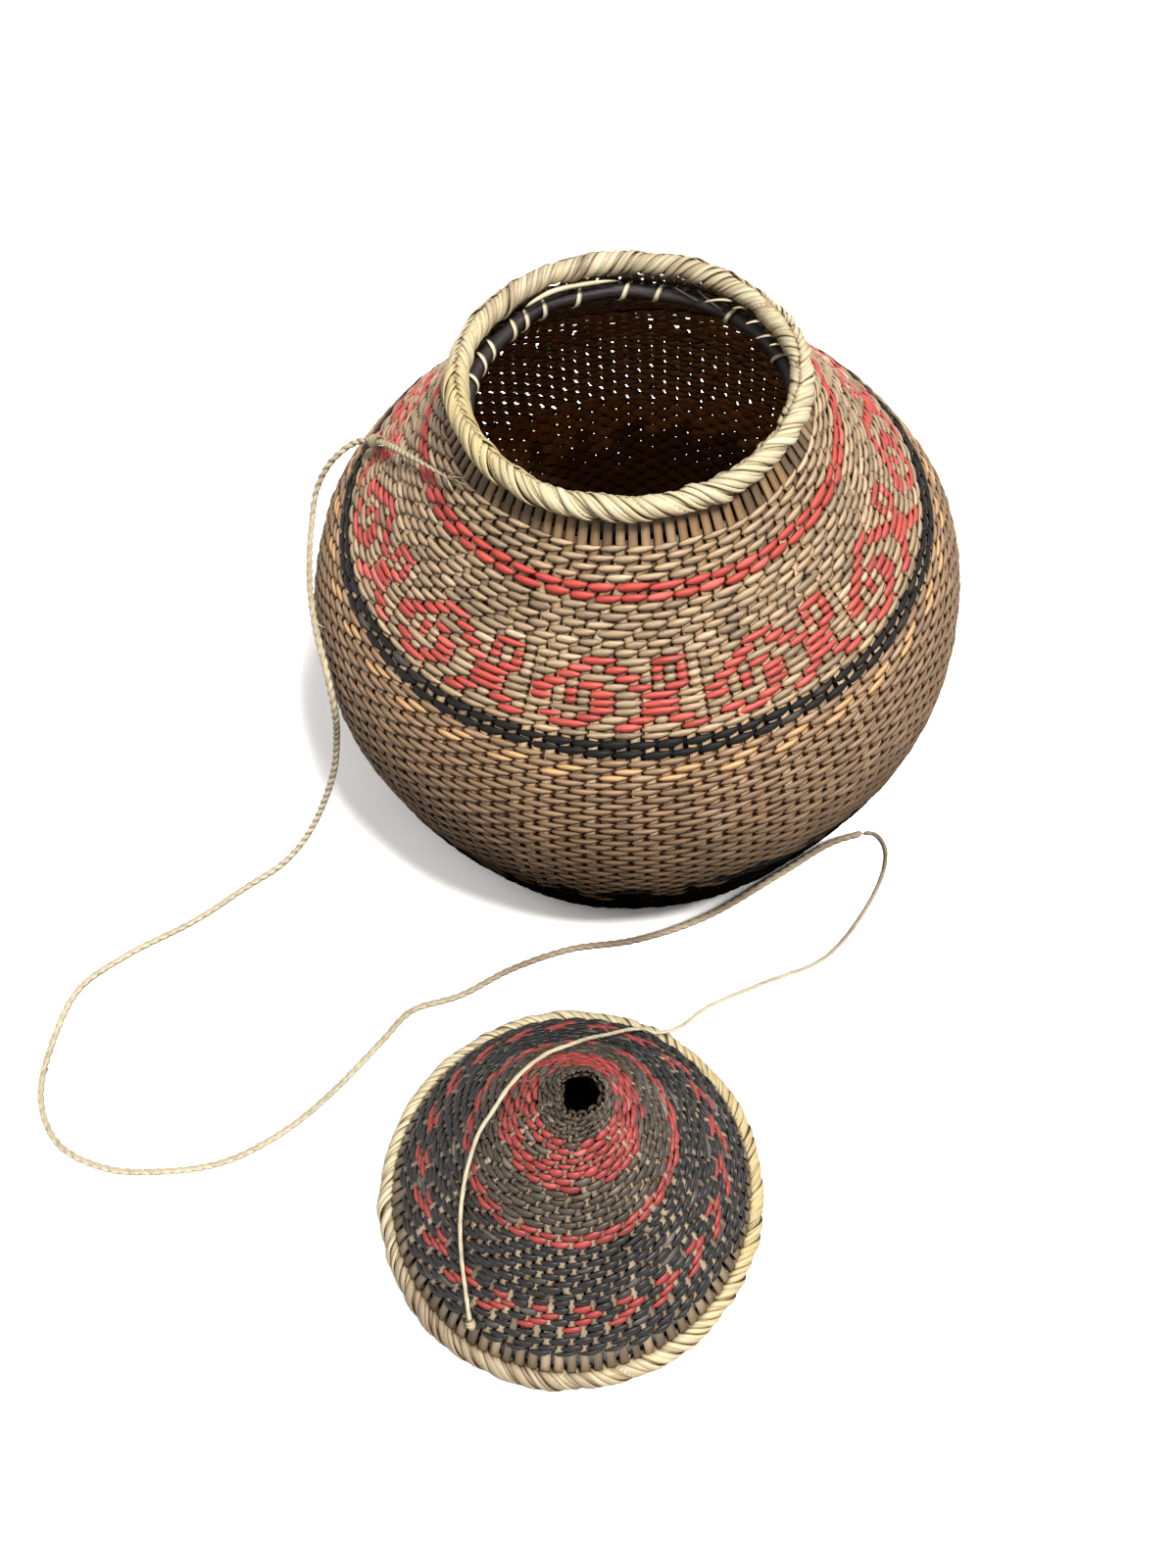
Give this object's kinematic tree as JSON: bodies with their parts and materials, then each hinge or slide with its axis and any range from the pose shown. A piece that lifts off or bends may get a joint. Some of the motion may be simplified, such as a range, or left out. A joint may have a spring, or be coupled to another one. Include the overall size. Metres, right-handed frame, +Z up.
{
  "type": "lidded basket",
  "caption": "Round-bellied twined basket with a loose conical lid, wrapped borders, a lashed hoop inside the mouth and a tether cord.",
  "frame": {"origin": "centre of the basket's flat base, on the floor it stands on", "axes": "+Z up along the basket's axis; -Y towards the lid, which stands on the same floor in front of the basket; +X to the right seen from the lid's side"},
  "size_m": [0.4503, 0.4903, 0.2448],
  "materials": {
    "brown_weft": "dull split plant fibre, grey-brown",
    "beige_weft": "dull split plant fibre, olive beige",
    "figured_weft": "olive beige fibre with coral red figures",
    "red_weft": "dyed coral red fibre",
    "black_weft": "dyed black fibre",
    "grey_weft": "grey-brown fibre",
    "stake": "flat split stakes, tan",
    "straw_border": "pale straw wrapping, slightly glossy",
    "hoop": "round blackened rod, satin",
    "raffia": "pale twisted plant fibre"
  },
  "bodies": {
    "basket": {"base_disc": "brown_weft", "foot_rows": "black_weft", "heel_wall": "brown_weft", "bowl_wall": "brown_weft", "belly_wall": "brown_weft", "shoulder_wall": "brown_weft", "black_band": "black_weft", "figured_band": "figured_weft", "plain_band": "beige_weft", "red_band": "red_weft", "collar_rows": "beige_weft", "neck_stakes": "stake", "mouth_border": "straw_border", "inner_hoop": "hoop", "hoop_lashing_01": "raffia", "hoop_lashing_02": "raffia", "hoop_lashing_03": "raffia", "hoop_lashing_04": "raffia", "hoop_lashing_05": "raffia", "hoop_lashing_06": "raffia", "hoop_lashing_07": "raffia", "hoop_lashing_08": "raffia", "hoop_lashing_09": "raffia", "hoop_lashing_10": "raffia", "hoop_lashing_11": "raffia", "hoop_lashing_12": "raffia", "cord_tail": "raffia", "cord_knot": "raffia", "cord_side_run": "raffia", "cord_floor_run": "raffia", "cord_lead": "raffia"},
    "lid": {"lid_border": "straw_border", "lid_margin_stakes": "stake", "lid_black_rows": "black_weft", "lid_red_ring": "red_weft", "lid_grey_rows": "grey_weft", "lid_red_rows": "red_weft", "lid_crown_collar": "grey_weft", "cord_over_lid": "raffia", "lid_cord_knot": "raffia"}
  },
  "joints": [
    {"name": "lid_lift", "type": "slide", "parent": "basket", "child": "lid", "axis": [0, 0, 1], "range_m": [0, 0.15]}
  ]
}
